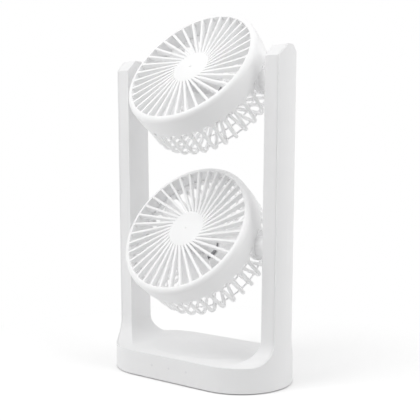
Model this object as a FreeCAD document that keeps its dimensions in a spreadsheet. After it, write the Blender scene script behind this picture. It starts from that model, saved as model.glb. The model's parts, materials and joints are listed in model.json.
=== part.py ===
# Twin desk fan: two tilting fan heads between the posts of a U-shaped stand.
# Millimetres and degrees. +Z is up, +Y is the back, and the origin is on the floor under the base's centre.
import FreeCAD, Part
import math
import os
import Sketcher

Vector = FreeCAD.Vector
Rotation = FreeCAD.Rotation
Placement = FreeCAD.Placement

SIZES = [
    # Stand
    ("stand_width", 203.0, "base width at the floor, over its round ends"),
    ("stand_depth", 106.0, "base depth, front to back"),
    ("rim_height", 25.0, "floor to the rim of the base"),
    ("foot_gap", 1.0, "floor to the shells' lower edge"),
    ("post_gap", 167.6, "between the posts' inner faces, measured at the floor"),
    ("post_depth", 31.0, "post, front to back"),
    ("post_lean", 0.7, "outward lean of each post, degrees"),
    ("front_shoulder", 317.0, "height of a post's front top edge"),
    ("back_shoulder", 323.0, "height of a post's back top edge"),
    ("ridge_height", 328.5, "height of a post's top"),
    ("ridge_front", 3.0, "front of the top flat, ahead of the post's middle"),
    ("ridge_back", 6.0, "back of the top flat, behind the post's middle"),
    ("foot_radius", 23.0, "concave fillet between a post and the base top"),
    ("skin", 1.2, "wall of the outer shell"),
    ("wall", 2.2, "wall of the inner shell"),
    ("seam", 0.25, "gap along the seam between the two shells"),
    ("dish_length", 118.0, "length of the shallow dish in the base top"),
    ("dish_width", 78.0, "width of the dish"),
    ("dish_depth", 2.8, "depth of the dish"),
    ("dish_curve", 20.0, "half height of the ball that shapes the dish"),
    ("plate_thickness", 2.4, "base plate"),
    ("plate_fit", 0.15, "gap round the base plate"),
    # Base hardware
    ("rubber_length", 140.0, "non-slip pad, left to right"),
    ("rubber_width", 80.0, "non-slip pad, front to back"),
    ("rubber_recess", 0.8, "depth of the pad's seat in the base plate"),
    ("rubber_fit", 0.1, "gap round the pad in its seat"),
    ("screw_spread_x", 150.0, "base screws, left to right"),
    ("screw_spread_y", 40.0, "base screws, front to back"),
    ("screw_diameter", 2.6, "screw shank"),
    ("screw_head", 5.2, "screw head diameter"),
    ("screw_head_height", 1.4, "screw head"),
    ("screw_length", 8.0, "screw shank length"),
    ("screw_fit", 0.1, "gap round a screw"),
    ("boss_diameter", 7.0, "screw boss under the base top"),
    ("pack_length", 78.0, "battery pack"),
    ("pack_width", 48.0, "battery pack"),
    ("pack_height", 10.0, "battery pack"),
    ("pack_edge", 3.0, "round edge of the battery pack"),
    ("board_length", 56.0, "control board"),
    ("board_width", 18.0, "control board"),
    ("board_thickness", 1.6, "control board"),
    ("board_height", 8.0, "floor to the underside of the control board"),
    ("pillar_diameter", 5.0, "pillar under the control board"),
    ("socket_width", 9.0, "charging socket"),
    ("socket_height", 3.2, "charging socket"),
    ("socket_depth", 7.4, "charging socket"),
    ("socket_wall", 0.3, "sheet of the charging socket"),
    ("socket_fit", 0.2, "gap round the charging socket"),
    ("key_diameter", 2.5, "touch-key mark"),
    ("key_pitch", 22.0, "touch-key marks, apart"),
    ("key_height", 14.2, "marks above the floor"),
    ("key_fit", 0.05, "gap round a touch-key mark"),
    ("key_board_length", 58.0, "touch board"),
    ("key_board_height", 10.6, "touch board"),
    ("key_board_thickness", 1.2, "touch board"),
    # Pivots
    ("lower_pivot", 136.0, "height of the lower head's pivot"),
    ("upper_pivot", 296.8, "height of the upper head's pivot"),
    ("lower_back", -2.7, "lower head's pivot, behind the posts' middle"),
    ("upper_back", 4.0, "upper head's pivot, behind the posts' middle"),
    ("lower_tilt", 35.0, "lower head's upward tilt at rest"),
    ("upper_tilt", 38.3, "upper head's upward tilt at rest"),
    ("pin_diameter", 9.0, "pivot pin"),
    ("pin_bore", 5.0, "lead hole through a pivot pin"),
    ("pin_flange", 15.0, "flange of a pivot pin"),
    ("pin_flange_height", 2.0, "flange of a pivot pin"),
    ("pin_fit", 0.05, "running gap round a pivot pin"),
    ("pad_diameter", 21.0, "flat pad round a pivot on a post"),
    ("pad_rise", 0.5, "least height of that pad"),
    ("washer_diameter", 18.0, "friction washer"),
    ("washer_thickness", 1.0, "friction washer"),
    ("washer_fit", 0.1, "gap on each side of a friction washer"),
    # Heads
    ("drum_radius", 74.0, "drum, outside"),
    ("drum_wall", 2.2, "drum"),
    ("drum_rear", 8.0, "drum's rear edge, ahead of the pivot"),
    ("face_offset", 30.0, "grille face, ahead of the pivot"),
    ("rim_round", 5.5, "round edge of the front rim"),
    ("spigot_depth", 4.0, "grille or guard, inside the drum"),
    ("spigot_wall", 2.0, "grille or guard, inside the drum"),
    ("spigot_fit", 0.1, "gap between a spigot and the drum"),
    ("slot_radius", 68.0, "outer end of the grille's slots"),
    ("face_dish", 2.6, "how far the grille's middle is set back"),
    ("centre_radius", 19.8, "plain disc in the middle of the grille"),
    ("centre_thickness", 2.4, "plain disc"),
    ("dot_radius", 1.3, "small sunk dot in the middle of the disc"),
    ("dot_depth", 0.5, "small sunk dot"),
    ("rib_count", 36, "grille ribs"),
    ("rib_width", 2.5, "grille rib"),
    ("rib_depth", 6.0, "grille rib, front to back"),
    ("boss_radius", 10.0, "head's pivot boss"),
    ("ear_radius", 13.5, "ear of the drum round the boss"),
    ("ear_gap", 0.4, "gap between an ear and the rear guard"),
    ("guard_radius", 73.2, "rear guard, outside"),
    ("guard_back", 30.0, "back of the rear guard, behind the pivot"),
    ("guard_corner", 11.0, "round corner of a guard finger"),
    ("finger_count", 36, "guard fingers"),
    ("finger_width", 3.6, "guard finger"),
    ("finger_depth", 3.4, "guard finger, outside to inside"),
    ("finger_step", 0.3, "step from the guard's band in to a finger"),
    ("arch_overlap", 0.2, "how far the round end of a gap runs into its fingers"),
    ("guard_band", 2.0, "plain ring at the guard's front"),
    ("guard_ring", 1.6, "width of the rings across the guard's back"),
    ("ring_depth", 1.8, "rings across the guard's back, front to back"),
    ("outer_ring", 59.7, "middle radius of the outer back ring"),
    ("inner_ring", 45.0, "middle radius of the inner back ring"),
    ("back_disc", 30.0, "plain disc in the middle of the guard's back"),
    # Motor and impeller
    ("motor_radius", 13.5, "motor can"),
    ("motor_length", 21.0, "motor can"),
    ("motor_fit", 0.05, "gap between the motor and its cup"),
    ("cup_wall", 2.4, "motor cup"),
    ("cup_depth", 13.0, "motor cup, ahead of the guard's back wall"),
    ("nose_radius", 5.0, "front boss of the motor"),
    ("nose_length", 2.5, "front boss of the motor"),
    ("bush_radius", 3.0, "motor bush"),
    ("bush_length", 2.5, "motor bush"),
    ("bush_fit", 0.02, "gap round a motor bush"),
    ("shaft_radius", 1.5, "motor shaft"),
    ("shaft_fit", 0.03, "running gap round the motor shaft"),
    ("shaft_room", 0.6, "gap between the shaft and the motor can"),
    ("motor_screw_spread", 17.0, "motor screws, apart"),
    ("motor_screw_head", 4.0, "motor screw head diameter"),
    ("motor_screw_head_height", 1.3, "motor screw head"),
    ("motor_screw_diameter", 2.0, "motor screw shank"),
    ("motor_screw_length", 5.0, "motor screw shank"),
    ("hub_radius", 19.0, "impeller hub"),
    ("hub_front", 18.0, "front of the hub, ahead of the pivot"),
    ("hub_rear", 4.0, "rear edge of the hub, behind the pivot"),
    ("hub_wall", 2.2, "impeller hub"),
    ("hub_round", 3.0, "round front edge of the hub"),
    ("hub_socket_radius", 4.0, "shaft socket in the hub"),
    ("hub_socket_depth", 11.0, "shaft socket in the hub"),
    ("hub_fit", 0.02, "gap between the hub and its shaft"),
    ("blade_count", 5, "impeller blades"),
    ("blade_tip", 65.5, "radius over the blades"),
    ("blade_thickness", 1.8, "blade"),
    ("blade_middle", 9.0, "middle of the blades, ahead of the pivot"),
    ("root_chord", 24.0, "blade width at the hub"),
    ("root_pitch", 48.0, "blade angle at the hub"),
    ("tip_chord", 42.0, "blade width at the tip"),
    ("tip_pitch", 26.0, "blade angle at the tip"),
    ("tip_sweep", 14.0, "how far the tip leads the root"),
    ("blade_curve", 1.3, "radius of a blade's hollow face, in blade widths"),
]


class Size:
    """A length with its value now and the sheet expression that drives it."""

    def __init__(self, value, text):
        self.value = value
        self.text = text

    def __add__(self, other):
        other = as_size(other)
        return Size(self.value + other.value, f"({self.text} + {other.text})")

    def __sub__(self, other):
        other = as_size(other)
        return Size(self.value - other.value, f"({self.text} - {other.text})")

    def __mul__(self, other):
        other = as_size(other)
        return Size(self.value * other.value, f"({self.text} * {other.text})")

    def __truediv__(self, other):
        other = as_size(other)
        return Size(self.value / other.value, f"({self.text} / {other.text})")

    def __radd__(self, other):
        return as_size(other) + self

    def __rsub__(self, other):
        return as_size(other) - self

    def __rmul__(self, other):
        return as_size(other) * self

    def __rtruediv__(self, other):
        return as_size(other) / self

    def __neg__(self):
        return as_size(0) - self


def as_size(number):
    return number if isinstance(number, Size) else Size(float(number), f"{number}")


def cosine(angle):
    return Size(math.cos(math.radians(angle.value)), f"cos({angle.text})")


def sine(angle):
    return Size(math.sin(math.radians(angle.value)), f"sin({angle.text})")


def tangent(angle):
    return Size(math.tan(math.radians(angle.value)), f"tan({angle.text})")


def root(square):
    return Size(math.sqrt(square.value), f"sqrt({square.text})")


class Dimensions:
    """The named sizes, each bound to its cell of the sheet."""


def write_sheet(doc):
    sheet = doc.addObject("Spreadsheet::Sheet", "Sizes")
    sizes = Dimensions()
    for row, (alias, value, meaning) in enumerate(SIZES, start=1):
        sheet.set(f"A{row}", alias)
        sheet.set(f"B{row}", str(value))
        sheet.set(f"C{row}", meaning)
        sheet.setAlias(f"B{row}", alias)
        setattr(sizes, alias, Size(float(value), f"Sizes.{alias}"))
    doc.recompute()
    return sizes


doc = FreeCAD.newDocument("TwinDeskFan")
s = write_sheet(doc)


def bind(target, property_name, size):
    target.setExpression(property_name, as_size(size).text)


# Sketches: every corner is tied to the sketch's origin, and every arc has its radius

def arc_centre(start, end, radius, turn):
    middle = (start + end) * 0.5
    chord = end - start
    rise = math.sqrt(max(radius * radius - chord.Length ** 2 / 4, 0.0))
    side = Vector(-chord.y, chord.x, 0).normalize()
    return middle + side * rise * turn


def add_segment(sketch, start, end, radius, turn):
    """Adds a line or an arc and returns its number with its start and end point numbers."""
    if radius is None:
        return sketch.addGeometry(Part.LineSegment(start, end)), 1, 2
    centre = arc_centre(start, end, radius.value, turn)
    first = math.atan2(start.y - centre.y, start.x - centre.x)
    last = math.atan2(end.y - centre.y, end.x - centre.x)
    circle = Part.Circle(centre, Vector(0, 0, 1), radius.value)
    if turn > 0:
        return sketch.addGeometry(Part.ArcOfCircle(circle, first, last)), 1, 2
    return sketch.addGeometry(Part.ArcOfCircle(circle, last, first)), 2, 1


def tie(sketch, kind, references, size):
    number = sketch.addConstraint(Sketcher.Constraint(kind, *references, as_size(size).value))
    sketch.setExpression(f"Constraints[{number}]", as_size(size).text)


def add_outline(sketch, corners):
    """Adds a closed outline. A corner is (x, y), or (x, y, radius, turn) where an arc leaves it."""
    points = [Vector(as_size(c[0]).value, as_size(c[1]).value, 0) for c in corners]
    segments = []
    for index, corner in enumerate(corners):
        following = points[(index + 1) % len(points)]
        radius, turn = corner[2:] if len(corner) == 4 else (None, 0)
        segments.append(add_segment(sketch, points[index], following, radius, turn))
    for index, corner in enumerate(corners):
        number, start, end = segments[index]
        following, following_start, _ = segments[(index + 1) % len(segments)]
        sketch.addConstraint(Sketcher.Constraint("Coincident", number, end, following, following_start))
        tie(sketch, "DistanceX", (-1, 1, number, start), corner[0])
        tie(sketch, "DistanceY", (-1, 1, number, start), corner[1])
        if len(corner) == 4:
            tie(sketch, "Radius", (number,), corner[2])


def add_circle(sketch, x, y, radius):
    centre = Vector(as_size(x).value, as_size(y).value, 0)
    number = sketch.addGeometry(Part.Circle(centre, Vector(0, 0, 1), radius.value))
    tie(sketch, "DistanceX", (-1, 1, number, 3), x)
    tie(sketch, "DistanceY", (-1, 1, number, 3), y)
    tie(sketch, "Radius", (number,), radius)


def rectangle(left, low, right, high):
    return [(left, low), (right, low), (right, high), (left, high)]


def stadium(half_length, radius):
    """A rounded outline of the given half length whose ends are half circles, each of two arcs."""
    straight = half_length - radius
    return [
        (-straight, -radius), (straight, -radius, radius, 1), (half_length, as_size(0), radius, 1),
        (straight, radius), (-straight, radius, radius, 1), (-half_length, as_size(0), radius, 1),
    ]


# Bodies and features

def new_body(label):
    body = doc.addObject("PartDesign::Body", label)
    body.Label = label
    return body


def origin_feature(body, role):
    return [feature for feature in body.Origin.OriginFeatures if feature.Role == role][0]


def body_sketch(body, name, plane, outlines=(), circles=(), offset=None, turn=None):
    """A sketch on one of the body's planes, moved along its normal or turned about its own upright axis."""
    sketch = body.newObject("Sketcher::SketchObject", f"{body.Label}_{name}")
    sketch.AttachmentSupport = (origin_feature(body, plane), [""])
    sketch.MapMode = "FlatFace"
    if offset is not None:
        bind(sketch, "AttachmentOffset.Base.z", offset)
    if turn is not None:
        sketch.AttachmentOffset = Placement(Vector(0, 0, 0), Rotation(Vector(0, 1, 0), turn.value))
        bind(sketch, "AttachmentOffset.Rotation.Angle", turn)
    for outline in outlines:
        add_outline(sketch, outline)
    for x, y, radius in circles:
        add_circle(sketch, x, y, radius)
    return sketch


def feature(body, kind, name, sketch=None):
    made = body.newObject(f"PartDesign::{kind}", f"{body.Label}_{name}")
    if sketch is not None:
        made.Profile = sketch
    return made


def pad(body, name, sketch, length, backwards=False, both_ways=False):
    made = feature(body, "Pad", name, sketch)
    bind(made, "Length", length)
    made.Reversed = backwards
    if both_ways:
        made.SideType = "Symmetric"
    return made


def pocket(body, name, sketch, length, backwards=False, both_ways=False):
    made = feature(body, "Pocket", name, sketch)
    bind(made, "Length", length)
    made.Reversed = backwards
    if both_ways:
        made.SideType = "Symmetric"
    return made


def revolve(body, name, sketch, kind="Revolution", axis="V_Axis"):
    made = feature(body, kind, name, sketch)
    made.ReferenceAxis = (sketch, [axis])
    made.Angle = 360
    return made


def ring_of(body, name, original, count):
    pattern = feature(body, "PolarPattern", name)
    pattern.Originals = [original]
    pattern.Axis = (origin_feature(body, "Z_Axis"), [""])
    pattern.Angle = 360
    bind(pattern, "Occurrences", count)
    body.Tip = pattern
    return pattern


def base_screw_places():
    return [(i * s.screw_spread_x / 2, j * s.screw_spread_y / 2) for i in (-1, 1) for j in (-1, 1)]


# Plain solids and booleans for the stand's shells

def free_sketch(name, rotation, outlines, circles=()):
    sketch = doc.addObject("Sketcher::SketchObject", name)
    sketch.Placement = Placement(Vector(0, 0, 0), rotation)
    for outline in outlines:
        add_outline(sketch, outline)
    for x, y, radius in circles:
        add_circle(sketch, x, y, radius)
    return sketch


FLAT = Rotation()
FACING_FRONT = Rotation(Vector(1, 0, 0), 90)
FACING_RIGHT = Rotation(Vector(1, 1, 1), 120)


def extrude(name, sketch, length, both_ways=False):
    made = doc.addObject("Part::Extrusion", name)
    made.Base = sketch
    made.DirMode = "Normal"
    made.Solid = True
    made.Symmetric = both_ways
    bind(made, "LengthFwd", length)
    return made


def cylinder_x(name, radius, length, start, y, height):
    """A cylinder along X from the given start."""
    made = doc.addObject("Part::Cylinder", name)
    bind(made, "Radius", radius)
    bind(made, "Height", length)
    made.Placement = Placement(Vector(0, 0, 0), Rotation(Vector(0, 1, 0), 90))
    bind(made, "Placement.Base.x", start)
    bind(made, "Placement.Base.y", y)
    bind(made, "Placement.Base.z", height)
    return made


def cylinder_z(name, radius, length, x, y, start):
    made = doc.addObject("Part::Cylinder", name)
    bind(made, "Radius", radius)
    bind(made, "Height", length)
    bind(made, "Placement.Base.x", x)
    bind(made, "Placement.Base.y", y)
    bind(made, "Placement.Base.z", start)
    return made


def box(name, x, y, z, length, width, height):
    made = doc.addObject("Part::Box", name)
    for property_name, size in (("Length", length), ("Width", width), ("Height", height)):
        bind(made, property_name, size)
    for axis, size in (("x", x), ("y", y), ("z", z)):
        bind(made, f"Placement.Base.{axis}", size)
    return made


def common(name, shapes):
    made = doc.addObject("Part::MultiCommon", name)
    made.Shapes = shapes
    return made


def fuse(name, shapes):
    made = doc.addObject("Part::MultiFuse", name)
    made.Shapes = shapes
    return made


def cut(name, base, tool):
    made = doc.addObject("Part::Cut", name)
    made.Base = base
    made.Tool = tool
    return made


def group(label, shapes):
    """Several separate solids that share one node."""
    made = doc.addObject("Part::Compound", label)
    made.Links = shapes
    made.Label = label
    return made


def mirrored(shape):
    made = doc.addObject("Part::Mirroring", f"{shape.Name}_mirrored")
    made.Source = shape
    made.Normal = Vector(1, 0, 0)
    return made


# Sizes that several pieces of the stand share

lean = tangent(s.post_lean)
half_depth = s.stand_depth / 2
half_post = s.post_depth / 2
plate_top = s.foot_gap + s.plate_thickness
inner_line = s.skin + s.seam
cavity_inset = inner_line + s.wall
ceiling = s.rim_height - s.dish_depth - s.wall
past_top = s.ridge_height + s.rim_height
heads = (
    ("lower", s.lower_pivot, s.lower_back, s.lower_tilt),
    ("upper", s.upper_pivot, s.upper_back, s.upper_tilt),
)


def inner_face(height):
    """How far a post's inner face is from the middle at a height."""
    return s.post_gap / 2 + lean * height


def pad_face(pivot):
    """How far the flat pad at a pivot is from the middle."""
    return inner_face(pivot - s.pad_diameter / 2) - s.pad_rise


def boss_end(pivot):
    return pad_face(pivot) - s.washer_thickness - 2 * s.washer_fit


# Stand shells

def plan_solid(name, inset, bottom):
    """The base's rounded plan carried up to the post tops, leaning out with the posts."""
    sections = []
    for end, height in (("low", as_size(bottom)), ("high", past_top)):
        half_length = s.stand_width / 2 + lean * height - inset
        sketch = free_sketch(f"{name}_{end}", FLAT, [stadium(half_length, half_depth - inset)])
        bind(sketch, "Placement.Base.z", height)
        sections.append(sketch)
    loft = doc.addObject("Part::Loft", name)
    loft.Sections = sections
    loft.Solid = True
    loft.Ruled = True
    return loft


def side_outline(bottom):
    """Seen from the side: the base, a fillet on each side of the post, and the post's gabled top."""
    foot = half_post + s.foot_radius
    knee = s.rim_height + s.foot_radius
    return [
        (-half_depth, bottom), (half_depth, bottom), (half_depth, s.rim_height),
        (foot, s.rim_height, s.foot_radius, -1), (half_post, knee), (half_post, s.back_shoulder),
        (s.ridge_back, s.ridge_height), (-s.ridge_front, s.ridge_height),
        (-half_post, s.front_shoulder), (-half_post, knee, s.foot_radius, -1),
        (-foot, s.rim_height), (-half_depth, s.rim_height),
    ]


def front_outline(bottom):
    """Seen from the front: the base and the two posts with a round inner corner at each foot."""
    reach = s.stand_width
    knee = s.rim_height + s.foot_radius
    knee_x = inner_face(knee)
    floor_x = knee_x - s.foot_radius
    top_x = inner_face(past_top)
    return [
        (-reach, bottom), (reach, bottom), (reach, past_top), (top_x, past_top),
        (knee_x, knee, s.foot_radius, -1), (floor_x, s.rim_height),
        (-floor_x, s.rim_height, s.foot_radius, -1), (-knee_x, knee),
        (-top_x, past_top), (-reach, past_top),
    ]


def shell_blank(name, inset, bottom):
    """The base and both posts as one block: what its plan, side view and front view have in common."""
    plan = plan_solid(f"{name}_plan", inset, bottom)
    side_view = free_sketch(f"{name}_side_outline", FACING_RIGHT, [side_outline(bottom)])
    side = extrude(f"{name}_side", side_view, 3 * s.stand_width, both_ways=True)
    front_view = free_sketch(f"{name}_front_outline", FACING_FRONT, [front_outline(bottom)])
    front = extrude(f"{name}_front", front_view, 3 * s.stand_depth, both_ways=True)
    return common(f"{name}_blank", [plan, side, front])


def key_places():
    return [i * s.key_pitch for i in (-1, 0, 1)]


def socket_hole(name):
    """The way for the charging socket through both shells' back walls."""
    fit = s.socket_fit
    return box(name, -s.socket_width / 2 - fit, half_depth - s.socket_depth, socket_low() - fit,
               s.socket_width + 2 * fit, s.socket_depth + s.skin, s.socket_height + 2 * fit)


def make_outer_shell():
    blank = shell_blank("outer_shell", as_size(0), s.foot_gap)
    core = plan_solid("outer_shell_core", s.skin, as_size(0))
    key_holes = extrude("key_holes", key_sketch("key_holes_outline", s.key_diameter / 2 + s.key_fit),
                        half_depth + s.skin)
    tools = fuse("outer_shell_tools", [core, socket_hole("outer_socket_hole"), key_holes])
    return [cut("outer_shell", blank, tools)]


def key_sketch(name, radius):
    return free_sketch(name, FACING_FRONT, [], [(x, s.key_height, radius) for x in key_places()])


def dish():
    """The lower cap of a long flat ball, which shapes the shallow dish in the base top."""
    rise = s.dish_curve - s.dish_depth
    spread = root(1 - rise * rise / (s.dish_curve * s.dish_curve))
    ball = doc.addObject("Part::Ellipsoid", "dish_ball")
    bind(ball, "Radius1", s.dish_curve)
    bind(ball, "Radius2", s.dish_length / 2 / spread)
    bind(ball, "Radius3", s.dish_width / 2 / spread)
    ball.Angle1 = -90
    ball.Angle2 = 90
    ball.Angle3 = 360
    bind(ball, "Placement.Base.z", s.rim_height + rise)
    cap = box("dish_cap", -s.dish_length, -s.dish_width, s.rim_height - 2 * s.dish_depth,
              2 * s.dish_length, 2 * s.dish_width, 2 * s.dish_depth)
    return common("dish", [ball, cap])


def channel_outline():
    """The hollow of the right post, seen from the front, open to the outside."""
    low = plate_top
    high = s.front_shoulder - s.wall
    reach = s.stand_width
    return [
        (inner_face(low) + s.wall, low), (reach, low), (reach, high), (inner_face(high) + s.wall, high),
    ]


def make_inner_shell():
    blank = shell_blank("inner_shell", inner_line, plate_top)
    hollow = extrude("base_hollow", free_sketch("base_hollow_plan", FLAT, [
        stadium(s.stand_width / 2 - cavity_inset, half_depth - cavity_inset)]), ceiling)
    channel = extrude("channel", free_sketch("channel_outline", FACING_FRONT, [channel_outline()]),
                      s.post_depth - 2 * s.wall, both_ways=True)
    boss_height = ceiling - plate_top + s.wall / 2
    pilot_radius = s.screw_diameter / 2 + s.screw_fit / 2
    bosses = []
    pilots = []
    for i, (x, y) in enumerate(base_screw_places()):
        bosses.append(cylinder_z(f"base_boss_{i}", s.boss_diameter / 2, boss_height, x, y, plate_top))
        pilots.append(cylinder_z(f"base_pilot_{i}", pilot_radius, ceiling - s.wall, x, y, 0))
    pads = []
    holes = []
    for name, pivot, back, _ in heads:
        face = pad_face(pivot)
        pad_length = inner_face(pivot) + s.wall - face
        pads.append(cylinder_x(f"{name}_pad", s.pad_diameter / 2, pad_length, face, back, pivot))
        holes.append(cylinder_x(f"{name}_pin_hole", s.pin_diameter / 2 + s.pin_fit, 3 * s.post_depth,
                                face - s.post_depth, back, pivot))
        holes.append(cylinder_x(f"{name}_flange_seat", s.pin_flange / 2 + s.pin_fit, s.post_depth,
                                flange_seat(pivot), back, pivot))
    pads += [mirrored(p) for p in pads]
    channels = [channel, mirrored(channel)]
    holes += [mirrored(h) for h in holes]
    holes.append(socket_hole("inner_socket_hole"))
    walled = cut("inner_shell_walled", blank, fuse("inner_shell_hollows", [hollow, dish()] + channels))
    bossed = fuse("inner_shell_bossed", [walled] + bosses + pads)
    return [cut("inner_shell", bossed, fuse("inner_shell_holes", pilots + holes))]


def flange_seat(pivot):
    """The flat seat of a pivot pin's flange, inside the post."""
    return inner_face(pivot + s.pin_flange / 2) + s.wall


# Base plate, non-slip pad, screws and electrics

def make_base_plate():
    body = new_body("base_plate")
    inset = inner_line + s.plate_fit
    sketch = body_sketch(body, "plan", "XY_Plane", [stadium(s.stand_width / 2 - inset, half_depth - inset)],
                         offset=s.foot_gap)
    pad(body, "plate", sketch, s.plate_thickness)
    seat = body_sketch(body, "seat", "XY_Plane", [
        stadium(s.rubber_length / 2 + s.rubber_fit, s.rubber_width / 2 + s.rubber_fit)], offset=s.foot_gap)
    pocket(body, "rubber_seat", seat, s.rubber_recess, backwards=True)
    for hole, diameter, depth in (
            ("shank_holes", s.screw_diameter, s.plate_thickness),
            ("head_seats", s.screw_head, s.screw_head_height)):
        sketch = body_sketch(body, f"{hole}_outline", "XY_Plane", circles=[
            (x, y, diameter / 2 + s.screw_fit) for x, y in base_screw_places()], offset=s.foot_gap)
        pocket(body, hole, sketch, depth, backwards=True)
    pillars = body_sketch(body, "pillars", "XY_Plane", circles=[
        (x, board_middle(), s.pillar_diameter / 2) for x in pillar_places()], offset=plate_top)
    pad(body, "board_pillars", pillars, s.board_height - plate_top)
    return [body]


def board_back():
    return half_depth - cavity_inset - s.socket_fit


def board_middle():
    return board_back() - s.board_width / 2


def pillar_places():
    reach = s.board_length / 2 - s.pillar_diameter
    return [-reach, reach]


def socket_low():
    return s.board_height + s.board_thickness


def make_rubber_pad():
    body = new_body("rubber_pad")
    sketch = body_sketch(body, "plan", "XY_Plane", [stadium(s.rubber_length / 2, s.rubber_width / 2)])
    pad(body, "sheet", sketch, s.foot_gap + s.rubber_recess)
    return [body]


def make_base_screws():
    screws = []
    seat = s.foot_gap + s.screw_head_height
    for i, (x, y) in enumerate(base_screw_places()):
        head = cylinder_z(f"base_screw_head_{i}", s.screw_head / 2, s.screw_head_height, x, y, s.foot_gap)
        shank = cylinder_z(f"base_screw_shank_{i}", s.screw_diameter / 2, s.screw_length, x, y, seat)
        screws.append(fuse(f"base_screw_{i}", [head, shank]))
    return [group("base_screws", screws)]


def make_battery_pack():
    body = new_body("battery_pack")
    half_length = s.pack_length / 2
    edge = s.pack_edge
    back = board_back() - s.board_width - edge
    front = back - s.pack_width
    low = plate_top
    high = plate_top + s.pack_height
    outline = [
        (front + edge, low), (back - edge, low, edge, 1),
        (back, low + edge), (back, high - edge, edge, 1),
        (back - edge, high), (front + edge, high, edge, 1),
        (front, high - edge), (front, low + edge, edge, 1),
    ]
    pad(body, "cell", body_sketch(body, "section", "YZ_Plane", [outline]), 2 * half_length, both_ways=True)
    return [body]


def make_control_board():
    board = box("control_board", -s.board_length / 2, board_back() - s.board_width, s.board_height,
                s.board_length, s.board_width, s.board_thickness)
    return [board]


def make_charging_socket():
    """A flat round-ended sheet sleeve on the control board, its mouth in the back wall."""
    body = new_body("charging_socket")
    radius = s.socket_height / 2
    height = socket_low() + radius
    sketch = body_sketch(body, "mouth", "XZ_Plane", [socket_outline(s.socket_width, radius, height)],
                         offset=-half_depth)
    pad(body, "sleeve", sketch, s.socket_depth)
    inside = socket_outline(s.socket_width - 2 * s.socket_wall, radius - s.socket_wall, height)
    hollow = body_sketch(body, "hollow", "XZ_Plane", [inside], offset=-half_depth)
    pocket(body, "opening", hollow, s.socket_depth - s.socket_wall, backwards=True)
    return [body]


def socket_outline(width, radius, height):
    straight = width / 2 - radius
    reach = width / 2
    return [
        (-straight, height - radius), (straight, height - radius, radius, 1), (reach, height, radius, 1),
        (straight, height + radius), (-straight, height + radius, radius, 1), (-reach, height, radius, 1),
    ]


def make_touch_keys():
    """Three flush marks in the front wall, each backed by the touch board."""
    keys = []
    for i, x in enumerate(key_places()):
        key = doc.addObject("Part::Cylinder", f"touch_key_{i}")
        bind(key, "Radius", s.key_diameter / 2)
        bind(key, "Height", s.skin)
        key.Placement = Placement(Vector(0, 0, 0), Rotation(Vector(1, 0, 0), 90))
        bind(key, "Placement.Base.x", x)
        bind(key, "Placement.Base.y", -(half_depth - s.skin))
        bind(key, "Placement.Base.z", s.key_height)
        keys.append(key)
    return [group("touch_keys", keys)]


def make_touch_board():
    board = box("touch_board", -s.key_board_length / 2, -(half_depth - cavity_inset),
                s.key_height - s.key_board_height / 2, s.key_board_length, s.key_board_thickness,
                s.key_board_height)
    return [board]


# Pivot pins and washers

def make_pivot_pins(name, pivot, back):
    """Hollow flanged pins, pushed through the posts into the head's bosses."""
    body = doc.addObject("PartDesign::Body", f"{name}_pin")
    radius = s.pin_diameter / 2
    bore = s.pin_bore / 2
    flange = s.pin_flange / 2
    start = s.drum_radius - s.drum_wall
    seat = flange_seat(pivot)
    outer = seat + s.pin_flange_height
    outline = [
        (start, bore), (outer, bore), (outer, flange), (seat, flange), (seat, radius), (start, radius),
    ]
    revolve(body, "turned", body_sketch(body, "section", "XZ_Plane", [outline]), axis="H_Axis")
    bind(body, "Placement.Base.y", back)
    bind(body, "Placement.Base.z", pivot)
    return [group(f"{name}_pivot_pins", [body, mirrored(body)])]


def make_friction_washers(name, pivot, back):
    start = boss_end(pivot) + s.washer_fit
    ring = cylinder_x(f"{name}_washer_ring", s.washer_diameter / 2, s.washer_thickness, start, back, pivot)
    hole = cylinder_x(f"{name}_washer_hole", s.pin_diameter / 2 + s.pin_fit, 3 * s.washer_thickness,
                      start - s.washer_thickness, back, pivot)
    washer = cut(f"{name}_washer", ring, hole)
    return [group(f"{name}_friction_washers", [washer, mirrored(washer)])]


# Heads: each piece is modelled with the fan's axis along Z, facing up, and its pivot at the origin

drum_inner = s.drum_radius - s.drum_wall
rim_line = s.face_offset - s.rim_round
spigot_outer = drum_inner - s.spigot_fit
spigot_inner = spigot_outer - s.spigot_wall


def place_head(piece, tilt, pivot, back):
    piece.Placement = Placement(Vector(0, 0, 0), Rotation(Vector(1, 0, 0), 90))
    bind(piece, "Placement.Base.y", back)
    bind(piece, "Placement.Base.z", pivot)
    bind(piece, "Placement.Rotation.Angle", 90 - tilt)


def make_drum(name, pivot):
    """A plain band with an ear on each side that carries the pivot boss."""
    body = new_body(f"{name}_drum")
    band = rectangle(drum_inner, s.drum_rear, s.drum_radius, rim_line)
    revolve(body, "band", body_sketch(body, "band_section", "XZ_Plane", [band]))
    ear = body_sketch(body, "ear_outline", "YZ_Plane", [ear_outline(s.ear_radius)])
    pad(body, "ears", ear, 2 * s.drum_radius, both_ways=True)
    boss = body_sketch(body, "boss_outline", "YZ_Plane", circles=[(as_size(0), as_size(0), s.boss_radius)])
    pad(body, "bosses", boss, 2 * boss_end(pivot), both_ways=True)
    clear_inside(body)
    bore = body_sketch(body, "bore_outline", "YZ_Plane", circles=[
        (as_size(0), as_size(0), s.pin_diameter / 2 + s.pin_fit)])
    pocket(body, "bore", bore, 3 * boss_end(pivot), both_ways=True)
    return body


def ear_outline(radius):
    zero = as_size(0)
    return [
        (radius, zero), (radius, s.drum_rear + s.guard_band), (-radius, s.drum_rear + s.guard_band),
        (-radius, zero, radius, 1), (zero, -radius, radius, 1),
    ]


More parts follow.
